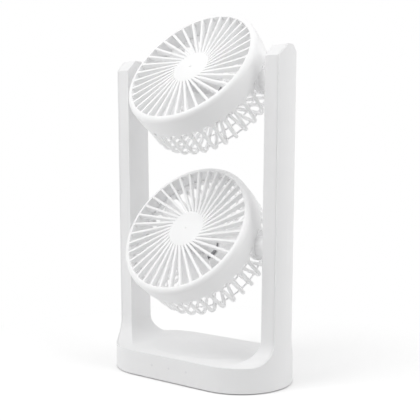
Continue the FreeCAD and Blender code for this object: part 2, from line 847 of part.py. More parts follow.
def clear_inside(body):
    """Cuts the ears and bosses away inside the drum's round wall."""
    inside = rectangle(as_size(0), -2 * s.ear_radius, drum_inner, s.face_offset)
    revolve(body, "inside", body_sketch(body, "inside_section", "XZ_Plane", [inside]), kind="Groove")


def make_grille(name):
    """Straight radial ribs that slope gently back to a plain disc, with a rounded rim."""
    body = new_body(f"{name}_front_grille")
    face = s.face_offset
    back = face - s.rib_depth
    middle = face - s.face_dish
    zero = as_size(0)
    section = [
        (zero, middle - s.centre_thickness), (s.centre_radius - s.rib_width, middle - s.centre_thickness),
        (s.centre_radius - s.rib_width, back), (spigot_inner, back),
        (spigot_inner, rim_line - s.spigot_depth), (spigot_outer, rim_line - s.spigot_depth),
        (spigot_outer, rim_line), (s.drum_radius, rim_line, s.rim_round, 1),
        (s.drum_radius - s.rim_round, face), (s.slot_radius, face), (s.centre_radius, middle),
        (s.dot_radius, middle), (s.dot_radius, middle - s.dot_depth), (zero, middle - s.dot_depth),
    ]
    revolve(body, "face", body_sketch(body, "section", "XZ_Plane", [section]))
    gap = body_sketch(body, "slot_outline", "XY_Plane", [slot_outline()], offset=face)
    ring_of(body, "slots", pocket(body, "slot", gap, 2 * s.rib_depth), s.rib_count)
    return body


def slot_outline():
    """The gap from the rib along X to the next one: its sides run along the ribs, its ends are arcs."""
    half_rib = s.rib_width / 2
    step = 360 / s.rib_count
    sides = []
    for radius in (s.centre_radius, s.slot_radius):
        along = root(radius * radius - half_rib * half_rib)
        next_x = along * cosine(step) + half_rib * sine(step)
        next_y = along * sine(step) - half_rib * cosine(step)
        sides.append(((along, half_rib), (next_x, next_y)))
    (inner_first, inner_next), (outer_first, outer_next) = sides
    return [inner_first, outer_first + (s.slot_radius, 1), outer_next, inner_next + (s.centre_radius, -1)]


def make_guard(name):
    """A round cage: a band, fingers that bend in from it, two rings and a disc with the motor cup."""
    body = new_body(f"{name}_rear_guard")
    body.AllowCompound = True
    zero = as_size(0)
    front = s.drum_rear
    back = -s.guard_back
    floor = back + s.finger_depth
    half_step = 180 / s.finger_count
    half_ring = s.guard_ring / 2
    arch = s.guard_radius * tangent(half_step) - s.finger_width / 2 + s.arch_overlap
    arch_middle = front - s.guard_band - arch
    band_inner = s.guard_radius - s.finger_depth
    cup_inner = s.motor_radius + s.motor_fit
    cup_outer = cup_inner + s.cup_wall
    band = [
        (band_inner, arch_middle), (s.guard_radius, arch_middle), (s.guard_radius, front),
        (spigot_outer, front), (spigot_outer, front + s.spigot_depth), (band_inner, front + s.spigot_depth),
    ]
    rings = [rectangle(ring - half_ring, back, ring + half_ring, back + s.ring_depth)
             for ring in (s.inner_ring, s.outer_ring)]
    cup_top = floor + s.cup_depth
    disc = [
        (zero, back), (s.back_disc, back), (s.back_disc, floor), (cup_outer, floor),
        (cup_outer, cup_top), (cup_inner, cup_top), (cup_inner, floor), (zero, floor),
    ]
    revolve(body, "rounds", body_sketch(body, "section", "XZ_Plane", [band] + rings + [disc]))
    round_end = body_sketch(body, "arch_outline", "YZ_Plane", circles=[(zero, arch_middle, arch)],
                            offset=s.guard_radius + s.drum_wall)
    gap_end = pocket(body, "arch", round_end, s.finger_depth + 2 * s.drum_wall)
    ring_of(body, "arches", gap_end, s.finger_count)
    bent_strip = body_sketch(body, "finger_outline", "XZ_Plane", [finger_outline()], turn=half_step)
    finger = pad(body, "finger", bent_strip, s.finger_width, both_ways=True)
    ring_of(body, "fingers", finger, s.finger_count)
    notch = ear_outline(s.ear_radius + s.ear_gap)
    for side, offset in (("left", -s.inner_ring), ("right", s.inner_ring)):
        ear = body_sketch(body, f"{side}_ear_clearance", "YZ_Plane", [notch], offset=offset)
        pocket(body, f"{side}_ear_notch", ear, s.guard_radius, backwards=side == "right")
    for hole, radius, depth in (
            ("head_seats", s.motor_screw_head / 2 + s.screw_fit, s.motor_screw_head_height),
            ("shank_holes", s.motor_screw_diameter / 2 + s.screw_fit, s.finger_depth)):
        sketch = body_sketch(body, f"{hole}_outline", "XY_Plane", circles=[
            (x, zero, radius) for x in motor_screw_places()], offset=back)
        pocket(body, hole, sketch, depth, backwards=True)
    return body


def finger_outline():
    """A guard finger cut along its middle: from the band, round the corner and in to the disc."""
    outer = s.guard_radius - s.finger_step
    inner = outer - s.finger_depth
    back = -s.guard_back
    floor = back + s.finger_depth
    bend = s.guard_corner - s.finger_depth
    start = s.back_disc - s.finger_depth
    top = s.drum_rear - s.guard_band / 2
    return [
        (start, back), (outer - s.guard_corner, back, s.guard_corner, 1), (outer, back + s.guard_corner),
        (outer, top), (inner, top), (inner, floor + bend, bend, -1), (inner - bend, floor), (start, floor),
    ]


def motor_back():
    return s.finger_depth - s.guard_back


def motor_front():
    return motor_back() + s.motor_length


def nose_front():
    return motor_front() + s.nose_length


def make_motor(name):
    """A closed can with a nose, bored for its two bushes and its shaft."""
    body = new_body(f"{name}_motor")
    low = motor_back()
    high = nose_front()
    seat = s.bush_radius + s.bush_fit
    room = s.shaft_radius + s.shaft_room
    section = [
        (seat, low), (s.motor_radius, low), (s.motor_radius, motor_front()), (s.nose_radius, motor_front()),
        (s.nose_radius, high), (seat, high), (seat, high - s.bush_length), (room, high - s.bush_length),
        (room, low + s.bush_length), (seat, low + s.bush_length),
    ]
    revolve(body, "can", body_sketch(body, "section", "XZ_Plane", [section]))
    pilot = s.motor_screw_diameter / 2 + s.screw_fit / 2
    holes = body_sketch(body, "screw_holes", "XY_Plane", circles=[
        (x, as_size(0), pilot) for x in motor_screw_places()], offset=low)
    pocket(body, "screw_bores", holes, s.motor_screw_length, backwards=True)
    return body


def motor_screw_places():
    return [-s.motor_screw_spread / 2, s.motor_screw_spread / 2]


def make_motor_bushes(name):
    rings = []
    for end, low in (("rear", motor_back()), ("front", nose_front() - s.bush_length)):
        body = doc.addObject("PartDesign::Body", f"{name}_{end}_bush")
        section = rectangle(s.shaft_radius + s.shaft_fit, low, s.bush_radius, low + s.bush_length)
        revolve(body, "ring", body_sketch(body, "section", "XZ_Plane", [section]))
        rings.append(body)
    return group(f"{name}_motor_bushes", rings)


def make_motor_screws(name):
    screws = []
    back = -s.guard_back
    seat = back + s.motor_screw_head_height
    head_radius = s.motor_screw_head / 2
    radius = s.motor_screw_diameter / 2
    for i, x in enumerate(motor_screw_places()):
        head = cylinder_z(f"{name}_motor_screw_head_{i}", head_radius, s.motor_screw_head_height, x, 0, back)
        shank = cylinder_z(f"{name}_motor_screw_shank_{i}", radius, s.motor_screw_length, x, 0, seat)
        screws.append(fuse(f"{name}_motor_screw_{i}", [head, shank]))
    return group(f"{name}_motor_screws", screws)


def make_motor_shaft(name):
    body = new_body(f"{name}_motor_shaft")
    section = rectangle(as_size(0), motor_back() + s.shaft_room, s.shaft_radius, hub_inside())
    revolve(body, "rod", body_sketch(body, "section", "XZ_Plane", [section]))
    return body


def hub_inside():
    return s.hub_front - s.hub_wall


def make_impeller(name):
    """A cup-shaped hub with swept, twisted blades."""
    body = new_body(f"{name}_impeller")
    zero = as_size(0)
    low = -s.hub_rear
    hub = [
        (zero, low), (s.hub_radius, low), (s.hub_radius, s.hub_front - s.hub_round, s.hub_round, 1),
        (s.hub_radius - s.hub_round, s.hub_front), (zero, s.hub_front),
    ]
    revolve(body, "hub", body_sketch(body, "hub_section", "XZ_Plane", [hub]))
    root_place = s.hub_radius - 2 * s.hub_wall
    tip_place = s.blade_tip + s.hub_wall
    root_end = blade_section(body, "root", root_place, zero, s.root_chord, s.root_pitch)
    tip_end = blade_section(body, "tip", tip_place, s.tip_sweep, s.tip_chord, s.tip_pitch)
    blade = feature(body, "AdditiveLoft", "blade", root_end)
    blade.Sections = [tip_end]
    blade.Ruled = True
    ring_of(body, "blades", blade, s.blade_count)
    inner = s.hub_radius - s.hub_wall
    socket_low = hub_inside() - s.hub_socket_depth
    bore = s.shaft_radius + s.hub_fit
    cup = [
        (zero, low - s.hub_wall), (inner, low - s.hub_wall), (inner, hub_inside()),
        (s.hub_socket_radius, hub_inside()), (s.hub_socket_radius, socket_low), (bore, socket_low),
        (bore, hub_inside()), (zero, hub_inside()),
    ]
    revolve(body, "cup", body_sketch(body, "cup_section", "XZ_Plane", [cup]), kind="Groove")
    trim = body_sketch(body, "tip_trim", "XY_Plane", [
        split_circle(s.blade_tip, s.blade_count), split_circle(2 * s.blade_tip, s.blade_count)])
    pocket(body, "tips", trim, 2 * s.blade_tip, both_ways=True)
    return body


def split_circle(radius, count):
    """A circle of as many arcs as there are blades, parted midway between them."""
    half_step = 180 / count
    angles = [half_step * (2 * i + 1) for i in range(round(count.value))]
    return [(radius * cosine(a), radius * sine(a), radius, 1) for a in angles]


def blade_section(body, name, distance, lead, chord, pitch):
    """A blade cut across: a curved strip whose leading edge lies further back."""
    half = chord / 2
    along_y = half * cosine(pitch)
    along_z = half * sine(pitch)
    off_y = s.blade_thickness / 2 * sine(pitch)
    off_z = s.blade_thickness / 2 * cosine(pitch)
    hollow = chord * s.blade_curve
    middle = s.blade_middle
    outline = [
        (lead - along_y - off_y, middle + along_z - off_z, hollow + s.blade_thickness, 1),
        (lead + along_y - off_y, middle - along_z - off_z),
        (lead + along_y + off_y, middle - along_z + off_z, hollow, -1),
        (lead - along_y + off_y, middle + along_z + off_z),
    ]
    return body_sketch(body, f"{name}_section", "YZ_Plane", [outline], offset=distance)


def make_head(name, pivot, back, tilt):
    pieces = [
        make_drum(name, pivot), make_grille(name), make_guard(name), make_motor(name),
        make_motor_bushes(name), make_motor_screws(name), make_motor_shaft(name), make_impeller(name),
    ]
    for piece in pieces:
        place_head(piece, tilt, pivot, back)
    return pieces


def check(pieces):
    failed = [o.Label for o in doc.Objects if "Invalid" in o.State or "Error" in o.State]
    if failed:
        raise RuntimeError(f"objects that failed: {failed}")
    for piece in pieces:
        if piece.Shape.isNull() or not piece.Shape.isValid():
            raise RuntimeError(f"no valid shape: {piece.Label}")


def main():
    pieces = make_outer_shell() + make_inner_shell() + make_base_plate() + make_rubber_pad()
    pieces += make_base_screws() + make_battery_pack() + make_control_board() + make_charging_socket()
    pieces += make_touch_keys() + make_touch_board()
    for name, pivot, back, tilt in heads:
        pieces += make_pivot_pins(name, pivot, back) + make_friction_washers(name, pivot, back)
        pieces += make_head(name, pivot, back, tilt)
    doc.recompute()
    check(pieces)
    os.makedirs("parts", exist_ok=True)
    for piece in pieces:
        piece.Shape.exportStep(os.path.join("parts", f"{piece.Label}.step"))
        print(piece.Label, len(piece.Shape.Solids), round(piece.Shape.Volume, 1))


main()
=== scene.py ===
# Twin desk fan: finishes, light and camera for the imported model. Metres, +Z up, the heads blow towards -Y.
import bmesh
import bpy
import json
import math
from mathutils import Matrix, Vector
from mathutils.geometry import tessellate_polygon


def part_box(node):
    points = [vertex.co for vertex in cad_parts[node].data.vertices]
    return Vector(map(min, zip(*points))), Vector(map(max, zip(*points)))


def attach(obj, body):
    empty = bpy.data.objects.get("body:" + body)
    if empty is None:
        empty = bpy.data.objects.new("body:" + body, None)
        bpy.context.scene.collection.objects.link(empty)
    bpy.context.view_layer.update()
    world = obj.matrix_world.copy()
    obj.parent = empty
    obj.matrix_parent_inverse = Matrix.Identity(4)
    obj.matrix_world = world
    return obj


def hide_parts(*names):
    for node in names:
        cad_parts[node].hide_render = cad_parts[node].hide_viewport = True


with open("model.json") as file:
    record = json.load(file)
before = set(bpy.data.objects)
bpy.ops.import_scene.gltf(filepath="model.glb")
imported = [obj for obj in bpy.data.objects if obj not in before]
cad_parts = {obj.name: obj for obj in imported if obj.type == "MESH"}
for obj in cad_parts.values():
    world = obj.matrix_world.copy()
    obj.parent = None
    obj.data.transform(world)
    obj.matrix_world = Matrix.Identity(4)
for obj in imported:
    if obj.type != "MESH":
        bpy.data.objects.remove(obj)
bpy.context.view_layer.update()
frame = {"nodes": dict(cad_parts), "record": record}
nodes = frame["nodes"]
joints = {joint["name"]: joint for joint in frame["record"]["behaviour"]["joints"]}


# Node helpers

def new_material(name):
    material = bpy.data.materials.new(name)
    material.use_nodes = True
    tree = material.node_tree
    shader = tree.nodes["Principled BSDF"]
    return material, tree, shader


def add(tree, kind, **inputs):
    node = tree.nodes.new(kind)
    for name, value in inputs.items():
        node.inputs[name.replace("_", " ")].default_value = value
    return node


def noise(tree, scale, detail=3.0, roughness=0.5, stretch=None):
    """Noise over the object's own coordinates. Scale counts cells per metre."""
    place = tree.nodes.new("ShaderNodeTexCoord")
    source = place.outputs["Object"]
    if stretch is not None:
        mapping = tree.nodes.new("ShaderNodeMapping")
        mapping.inputs["Scale"].default_value = stretch
        tree.links.new(source, mapping.inputs["Vector"])
        source = mapping.outputs["Vector"]
    texture = add(tree, "ShaderNodeTexNoise", Scale=scale, Detail=detail, Roughness=roughness)
    tree.links.new(source, texture.inputs["Vector"])
    return texture.outputs["Fac"]


def ramp(tree, source, low, high, start=0.3, end=0.7):
    """Turns a factor into a colour between two colours."""
    node = tree.nodes.new("ShaderNodeValToRGB")
    node.color_ramp.elements[0].position = start
    node.color_ramp.elements[1].position = end
    node.color_ramp.elements[0].color = (*low, 1.0)
    node.color_ramp.elements[1].color = (*high, 1.0)
    tree.links.new(source, node.inputs["Fac"])
    return node.outputs["Color"]


def spread(tree, source, low, high):
    """Turns a factor into a number between two numbers."""
    node = add(tree, "ShaderNodeMapRange", To_Min=low, To_Max=high)
    tree.links.new(source, node.inputs["Value"])
    return node.outputs["Result"]


def bump(tree, shader, source, strength, distance):
    node = add(tree, "ShaderNodeBump", Strength=strength, Distance=distance)
    tree.links.new(source, node.inputs["Height"])
    tree.links.new(node.outputs["Normal"], shader.inputs["Normal"])


def shade(colour, amount):
    return tuple(channel * amount for channel in colour)


# Finishes

# How far light runs inside the translucent plastic, in metres
GLOW_REACH = 0.006


def moulded(name, colour, roughness, grain=2600.0, depth=0.00002, drift=0.015, gloss=0.45, glow=0.0):
    """Moulded plastic: a fine grain, an uneven sheen, a slight drift of tone and light let through."""
    material, tree, shader = new_material(name)
    tone = noise(tree, 38.0, 4.0)
    tree.links.new(ramp(tree, tone, shade(colour, 1.0 - drift), colour), shader.inputs["Base Color"])
    sheen = noise(tree, 210.0, 5.0)
    tree.links.new(spread(tree, sheen, roughness - 0.05, roughness + 0.05), shader.inputs["Roughness"])
    bump(tree, shader, noise(tree, grain, 2.0), 0.18, depth)
    shader.inputs["Specular IOR Level"].default_value = gloss
    shader.inputs["Subsurface Weight"].default_value = glow
    shader.inputs["Subsurface Radius"].default_value = (1.0, 1.0, 1.0)
    shader.inputs["Subsurface Scale"].default_value = GLOW_REACH
    return material


def metal(name, colour, roughness, stretch, grain=900.0):
    """Drawn or turned metal: fine lines along one direction."""
    material, tree, shader = new_material(name)
    lines = noise(tree, grain, 4.0, 0.6, stretch)
    tree.links.new(ramp(tree, lines, shade(colour, 0.82), colour), shader.inputs["Base Color"])
    tree.links.new(spread(tree, lines, roughness - 0.08, roughness + 0.1), shader.inputs["Roughness"])
    bump(tree, shader, lines, 0.12, 0.00002)
    shader.inputs["Metallic"].default_value = 1.0
    return material


def bronze(name):
    """Sintered bronze: dark pores in a warm metal."""
    material, tree, shader = new_material(name)
    pores = noise(tree, 5200.0, 1.0)
    colour = ramp(tree, pores, (0.24, 0.15, 0.07), (0.60, 0.42, 0.21), 0.36, 0.52)
    tree.links.new(colour, shader.inputs["Base Color"])
    tree.links.new(spread(tree, pores, 0.62, 0.36), shader.inputs["Roughness"])
    bump(tree, shader, pores, 0.3, 0.00003)
    shader.inputs["Metallic"].default_value = 1.0
    return material


def rubber(name, colour):
    """Soft rubber: dull, with a dusty bloom and a fine grain."""
    material, tree, shader = new_material(name)
    bloom = noise(tree, 420.0, 6.0, 0.6)
    tree.links.new(ramp(tree, bloom, shade(colour, 0.75), shade(colour, 1.25)), shader.inputs["Base Color"])
    tree.links.new(spread(tree, bloom, 0.72, 0.9), shader.inputs["Roughness"])
    bump(tree, shader, noise(tree, 1800.0, 2.0), 0.3, 0.00005)
    shader.inputs["Specular IOR Level"].default_value = 0.3
    return material


def circuit(name):
    """Circuit board: a green lacquer over copper runs that show as paler bands."""
    material, tree, shader = new_material(name)
    place = tree.nodes.new("ShaderNodeTexCoord")
    runs = add(tree, "ShaderNodeTexBrick", Scale=260.0, Mortar_Size=0.06, Brick_Width=1.6, Row_Height=0.3)
    runs.inputs["Color1"].default_value = (0.012, 0.12, 0.055, 1.0)
    runs.inputs["Color2"].default_value = (0.016, 0.15, 0.07, 1.0)
    runs.inputs["Mortar"].default_value = (0.05, 0.27, 0.13, 1.0)
    tree.links.new(place.outputs["Object"], runs.inputs["Vector"])
    tree.links.new(runs.outputs["Color"], shader.inputs["Base Color"])
    tree.links.new(spread(tree, noise(tree, 500.0), 0.28, 0.42), shader.inputs["Roughness"])
    bump(tree, shader, runs.outputs["Fac"], 0.25, 0.00004)
    return material


def foil(name):
    """Battery wrap: creased metal foil."""
    material, tree, shader = new_material(name)
    creases = noise(tree, 130.0, 8.0, 0.65)
    tree.links.new(ramp(tree, creases, (0.46, 0.47, 0.50), (0.70, 0.71, 0.74)), shader.inputs["Base Color"])
    tree.links.new(spread(tree, creases, 0.28, 0.5), shader.inputs["Roughness"])
    bump(tree, shader, creases, 0.4, 0.0003)
    shader.inputs["Metallic"].default_value = 0.85
    return material


def make_finishes():
    return {
        "shell_white": moulded("shell_white", (0.88, 0.88, 0.883), 0.42),
        # The head, guard, finger and impeller whites are painted lighter than shell_white, though all are one
        # white plastic: painted light that brightens the dim inside of the heads and makes up for a weaker
        # top lamp.
        "head_white": moulded("head_white", (0.96, 0.96, 0.962), 0.40),
        "guard_white": moulded("guard_white", (0.97, 0.97, 0.972), 0.40),
        "finger_white": moulded("finger_white", (0.97, 0.97, 0.972), 0.40, glow=1.0),
        "impeller_white": moulded("impeller_white", (0.98, 0.98, 0.982), 0.30, grain=1700.0, depth=0.00001,
                                  gloss=0.5, glow=0.9),
        "plate_grey": moulded("plate_grey", (0.62, 0.62, 0.625), 0.58, grain=1500.0, depth=0.00006),
        "foot_rubber": rubber("foot_rubber", (0.055, 0.055, 0.057)),
        "screw_steel": metal("screw_steel", (0.52, 0.52, 0.53), 0.34, (1.0, 1.0, 6.0)),
        "battery_foil": foil("battery_foil"),
        "board_green": circuit("board_green"),
        "socket_steel": metal("socket_steel", (0.66, 0.66, 0.67), 0.3, (1.0, 8.0, 1.0)),
        "key_grey": moulded("key_grey", (0.86, 0.86, 0.87), 0.22, grain=900.0, depth=0.000005, gloss=0.55),
        "pin_plastic": moulded("pin_plastic", (0.76, 0.76, 0.765), 0.34),
        "washer_plastic": moulded("washer_plastic", (0.30, 0.30, 0.305), 0.5),
        "motor_steel": metal("motor_steel", (0.50, 0.50, 0.52), 0.32, (7.0, 1.0, 1.0)),
        "bush_bronze": bronze("bush_bronze"),
        "shaft_steel": metal("shaft_steel", (0.62, 0.62, 0.63), 0.2, (1.0, 9.0, 9.0)),
    }


def dress_nodes(finishes):
    for entry in frame["record"]["subparts"]:
        mesh = nodes[entry["node"]].data
        mesh.materials.clear()
        mesh.materials.append(finishes[entry["material_slot"]])


# Softened edges on the moulded pieces, in metres
EDGES = {"outer_shell": 0.0008, "inner_shell": 0.0008, "base_plate": 0.0004, "rubber_pad": 0.0006}
# The turn between two faces from which their edge counts as sharp
SHARP = math.radians(35)


def soften_edges():
    for name, width in EDGES.items():
        edge = nodes[name].modifiers.new("soft_edge", "BEVEL")
        edge.width = width
        edge.segments = 3
        edge.limit_method = "ANGLE"
        edge.angle_limit = SHARP
        edge.harden_normals = True


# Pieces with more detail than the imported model

def skin(loops, ring=False):
    """Points and faces of a closed skin over loops of equal count, capped or closed to a ring."""
    count = len(loops[0])
    points = [point for loop in loops for point in loop]
    faces = []
    for row in range(len(loops) if ring else len(loops) - 1):
        low = row * count
        high = (row + 1) % len(loops) * count
        for i in range(count):
            j = (i + 1) % count
            faces.append((low + i, low + j, high + j, high + i))
    if not ring:
        faces.append(tuple(reversed(range(count))))
        faces.append(tuple(range(len(points) - count, len(points))))
    return points, faces


def new_piece(name, skins, finish, body):
    """One object of several closed skins, which moves with a body."""
    points = []
    faces = []
    for skin_points, skin_faces in skins:
        start = len(points)
        points += skin_points
        faces += [tuple(start + index for index in face) for face in skin_faces]
    mesh = bpy.data.meshes.new(name)
    mesh.from_pydata(points, [], faces)
    outward = bmesh.new()
    outward.from_mesh(mesh)
    bmesh.ops.recalc_face_normals(outward, faces=outward.faces)
    outward.to_mesh(mesh)
    outward.free()
    mesh.shade_smooth()
    mesh.set_sharp_from_angle(angle=SHARP)
    mesh.materials.append(finish)
    piece = bpy.data.objects.new(name, mesh)
    bpy.context.scene.collection.objects.link(piece)
    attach(piece, body)
    return piece


SCREW_STEPS = 48
THREAD_PITCH = 0.0008
# Half the angle that an arm of the cross takes up at its end
HALF_ARM = math.radians(15)
HALF_ARM_LIMIT = math.radians(15.01)


def cross_reach(angle, reach):
    """How far a screw's cross recess reaches in one direction."""
    folded = abs((angle + math.pi / 4) % (math.pi / 2) - math.pi / 4)
    half_width = reach * math.tan(HALF_ARM)
    if folded <= HALF_ARM_LIMIT:
        return reach / math.cos(folded)
    return half_width / math.sin(folded)


def screw_skin(place, inward, turn, head_radius, head_height, radius, length):
    """A pan-head screw with a cross recess, a chamfered edge and a thread of plain ridges."""
    along = inward.to_track_quat("Z", "Y")
    chamfer = 0.12 * head_radius
    deep = 0.6 * head_height
    recess = 0.58 * head_radius
    levels = [(0.8 * recess, deep, True), (recess, 0.0, True), (head_radius - chamfer, 0.0, False),
              (head_radius, chamfer, False), (head_radius, head_height, False), (radius, head_height, False)]
    turns = int(length / THREAD_PITCH)
    for ridge in range(turns):
        height = head_height + ridge * THREAD_PITCH
        levels.append((0.8 * radius, height + 0.3 * THREAD_PITCH, False))
        levels.append((radius, height + 0.7 * THREAD_PITCH, False))
    levels.append((0.5 * radius, head_height + length, False))
    loops = []
    for reach, height, crossed in levels:
        loop = []
        for step in range(SCREW_STEPS):
            angle = 2 * math.pi * step / SCREW_STEPS
            distance = cross_reach(angle, reach) if crossed else reach
            local = Vector((distance * math.cos(angle + turn), distance * math.sin(angle + turn), height))
            loop.append(tuple(place + along @ local))
        loops.append(loop)
    return skin(loops)


def make_base_screws(finishes):
    low, high = (Vector(corner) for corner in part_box("base_screws"))
    head_radius = 0.0026
    head_height = 0.0014
    radius = 0.0013
    length = high.z - low.z - head_height
    up = Vector((0, 0, 1))
    skins = []
    for i, x in enumerate((low.x + head_radius, high.x - head_radius)):
        for j, y in enumerate((low.y + head_radius, high.y - head_radius)):
            turn = 0.5 + 0.7 * i + 1.1 * j
            place = Vector((x, y, low.z))
            skins.append(screw_skin(place, up, turn, head_radius, head_height, radius, length))
    screws = new_piece("base_screws_cross", skins, finishes["screw_steel"], "stand")
    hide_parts("base_screws")


def make_motor_screws(finishes, head):
    node = f"{head}_motor_screws"
    spin = joints[f"{head}_spin"]
    ahead = Vector(spin["axis"])
    low, high = (Vector(corner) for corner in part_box(node))
    head_radius = 0.002
    head_height = 0.0013
    radius = 0.001
    length = 0.005
    back = (low + high) / 2 - ahead * (head_height + length) / 2
    skins = []
    for side, turn in ((-1, 0.3), (1, 0.9)):
        place = back + Vector((side * (high.x - head_radius), 0, 0))
        skins.append(screw_skin(place, ahead, turn, head_radius, head_height, radius, length))
    name = f"{head}_motor_screws_cross"
    screws = new_piece(name, skins, finishes["screw_steel"], f"{head}_head")
    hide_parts(node)


def bar_skin(low, high, slope):
    """A bar along Y whose end at the back is narrowed all round."""
    loops = []
    for y, inset in ((low.y, 0.0), (high.y - slope, 0.0), (high.y, 0.4 * slope)):
        left, right = low.x + inset, high.x - inset
        under, over = low.z + inset, high.z - inset
        loops.append([(left, y, under), (right, y, under), (right, y, over), (left, y, over)])
    return skin(loops)


def make_socket_tongue(finishes):
    """The tongue inside the charging socket, with a row of contacts on each face."""
    low, high = (Vector(corner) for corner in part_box("charging_socket"))
    middle = (low + high) / 2
    wall = 0.0003
    half_width = 0.00335
    half_height = 0.00035
    root = low.y + wall
    tip = high.y - 0.0012
    tongue_slope = 0.0005
    tongue_low = Vector((middle.x - half_width, root, middle.z - half_height))
    tongue_high = Vector((middle.x + half_width, tip, middle.z + half_height))
    tongue = bar_skin(tongue_low, tongue_high, tongue_slope)
    new_piece("socket_tongue", [tongue], finishes["washer_plastic"], "stand")
    contacts = 12
    pitch = 0.0005
    half_strip = 0.00013
    rise = 0.00006
    strip_tip = tip - 0.0008
    strip_slope = 0.0001
    strips = []
    for row in (-1, 1):
        face = middle.z + row * half_height
        under, over = sorted((face - row * rise, face + row * rise))
        for i in range(contacts):
            x = middle.x + (i - (contacts - 1) / 2) * pitch
            strip_low = Vector((x - half_strip, root, under))
            strip_high = Vector((x + half_strip, strip_tip, over))
            strips.append(bar_skin(strip_low, strip_high, strip_slope))
    new_piece("socket_contacts", strips, finishes["bush_bronze"], "stand")


# Rear guard with rounded fingers and edges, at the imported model's sizes in metres

GUARD_RADIUS = 0.0732
GUARD_FRONT = 0.0080
GUARD_BACK = -0.0300
GUARD_INNER = 0.0698
SPIGOT_RADIUS = 0.0717
SPIGOT_FRONT = 0.0120
ARCH_RADIUS = 0.0048
ARCH_MIDDLE = 0.0012
EAR_SIDE = math.radians(11.3)
EAR_LOW = -0.0133
FINGERS = 36
FINGER_STEP = 2 * math.pi / FINGERS
FINGER_OUTER = 0.0729
FINGER_SINK = 0.0010
FINGER_CORNER = 0.0110
HALF_FINGER = 0.0018
HALF_DEPTH = 0.0017
BACK_RINGS = (0.0450, 0.0597)
HALF_RING = 0.0008
HALF_RING_DEPTH = 0.0009
DISC_RADIUS = 0.0300
DISC_FRONT = -0.0266
CUP_INNER = 0.01355
CUP_OUTER = 0.01595
CUP_FRONT = -0.0136
SEAT_PLACE = 0.0085
SEAT_RADIUS = 0.0021
SEAT_DEPTH = 0.0013
SOFT = 0.0006


def head_place(head):
    """Turns a head's own coordinates into the world's. The fan's axis is Z, and the pivot is the origin."""
    spin = joints[f"{head}_spin"]
    middle = Vector(spin["pos_m"])
    ahead = Vector(spin["axis"])
    side = Vector((1, 0, 0))
    up = ahead.cross(side)

    def place(x, y, z):
        return tuple(middle + side * x + up * y + ahead * z)
    return place


def polar(place, radius, angle, height, aside=0.0):
    """A point of a head at a distance from its axis, moved aside round it."""
    x = radius * math.cos(angle) - aside * math.sin(angle)
    y = radius * math.sin(angle) + aside * math.cos(angle)
    return place(x, y, height)


def round_section(half_width, half_depth, steps=16):
    """A rectangle with well rounded corners, as pairs of aside and outward."""
    section = []
    for step in range(steps):
        angle = 2 * math.pi * step / steps
        aside = math.copysign(abs(math.cos(angle)) ** 0.7, math.cos(angle))
        outward = math.copysign(abs(math.sin(angle)) ** 0.7, math.sin(angle))
        section.append((half_width * aside, half_depth * outward))
    return section


def finger_skin(place, angle, front):
    """A bar from the guard's band, round the corner and in to its disc."""
    bend = FINGER_CORNER - HALF_DEPTH
    radius = FINGER_OUTER - FINGER_CORNER
    height = GUARD_BACK + FINGER_CORNER
    path = [(radius + bend, front, 0.0, 0.7), (radius + bend, front - SOFT, 0.0, 1.0)]
    for step in range(9):
        lean = math.pi / 2 * step / 8
        path.append((radius + bend * math.cos(lean), height - bend * math.sin(lean), lean, 1.0))
    path.append((DISC_RADIUS - 2 * HALF_DEPTH, GUARD_BACK + HALF_DEPTH, math.pi / 2, 1.0))
    loops = []
    for radius, height, lean, size in path:
        loop = []
        for aside, outward in round_section(size * HALF_FINGER, size * HALF_DEPTH):
            loop.append(polar(place, radius + outward * math.cos(lean), angle,
                              height - outward * math.sin(lean), aside))
        loops.append(loop)
    return skin(loops)


def band_skin(place, start, end):
    """Half of the guard's front band, arched between the fingers along its rear edge."""
    loops = []
    steps = 320
    for step in range(steps + 1):
        angle = start + (end - start) * step / steps
        aside = GUARD_RADIUS * math.sin(angle - FINGER_STEP * round(angle / FINGER_STEP))
        rear = ARCH_MIDDLE + math.sqrt(max(ARCH_RADIUS ** 2 - aside ** 2, 0.0))
        profile = [
            (GUARD_RADIUS, rear + SOFT), (GUARD_RADIUS - 0.3 * SOFT, rear + 0.3 * SOFT),
            (GUARD_RADIUS - SOFT, rear), (GUARD_INNER + SOFT, rear),
            (GUARD_INNER + 0.3 * SOFT, rear + 0.3 * SOFT), (GUARD_INNER, rear + SOFT),
            (GUARD_INNER, SPIGOT_FRONT), (SPIGOT_RADIUS, SPIGOT_FRONT), (SPIGOT_RADIUS, GUARD_FRONT),
            (GUARD_RADIUS, GUARD_FRONT),
        ]
        loops.append([polar(place, radius, angle, height) for radius, height in profile])
    return skin(loops)


def turned_skin(place, profile, steps=144):
    """A ring turned about the fan's axis from a closed profile of distances and heights."""
    loops = []
    for step in range(steps):
        angle = 2 * math.pi * step / steps
        loops.append([polar(place, radius, angle, height) for radius, height in profile])
    return skin(loops, ring=True)


def circle(x, y, radius, steps):
    angles = [2 * math.pi * step / steps for step in range(steps)]
    return [(x + radius * math.cos(angle), y + radius * math.sin(angle)) for angle in angles]


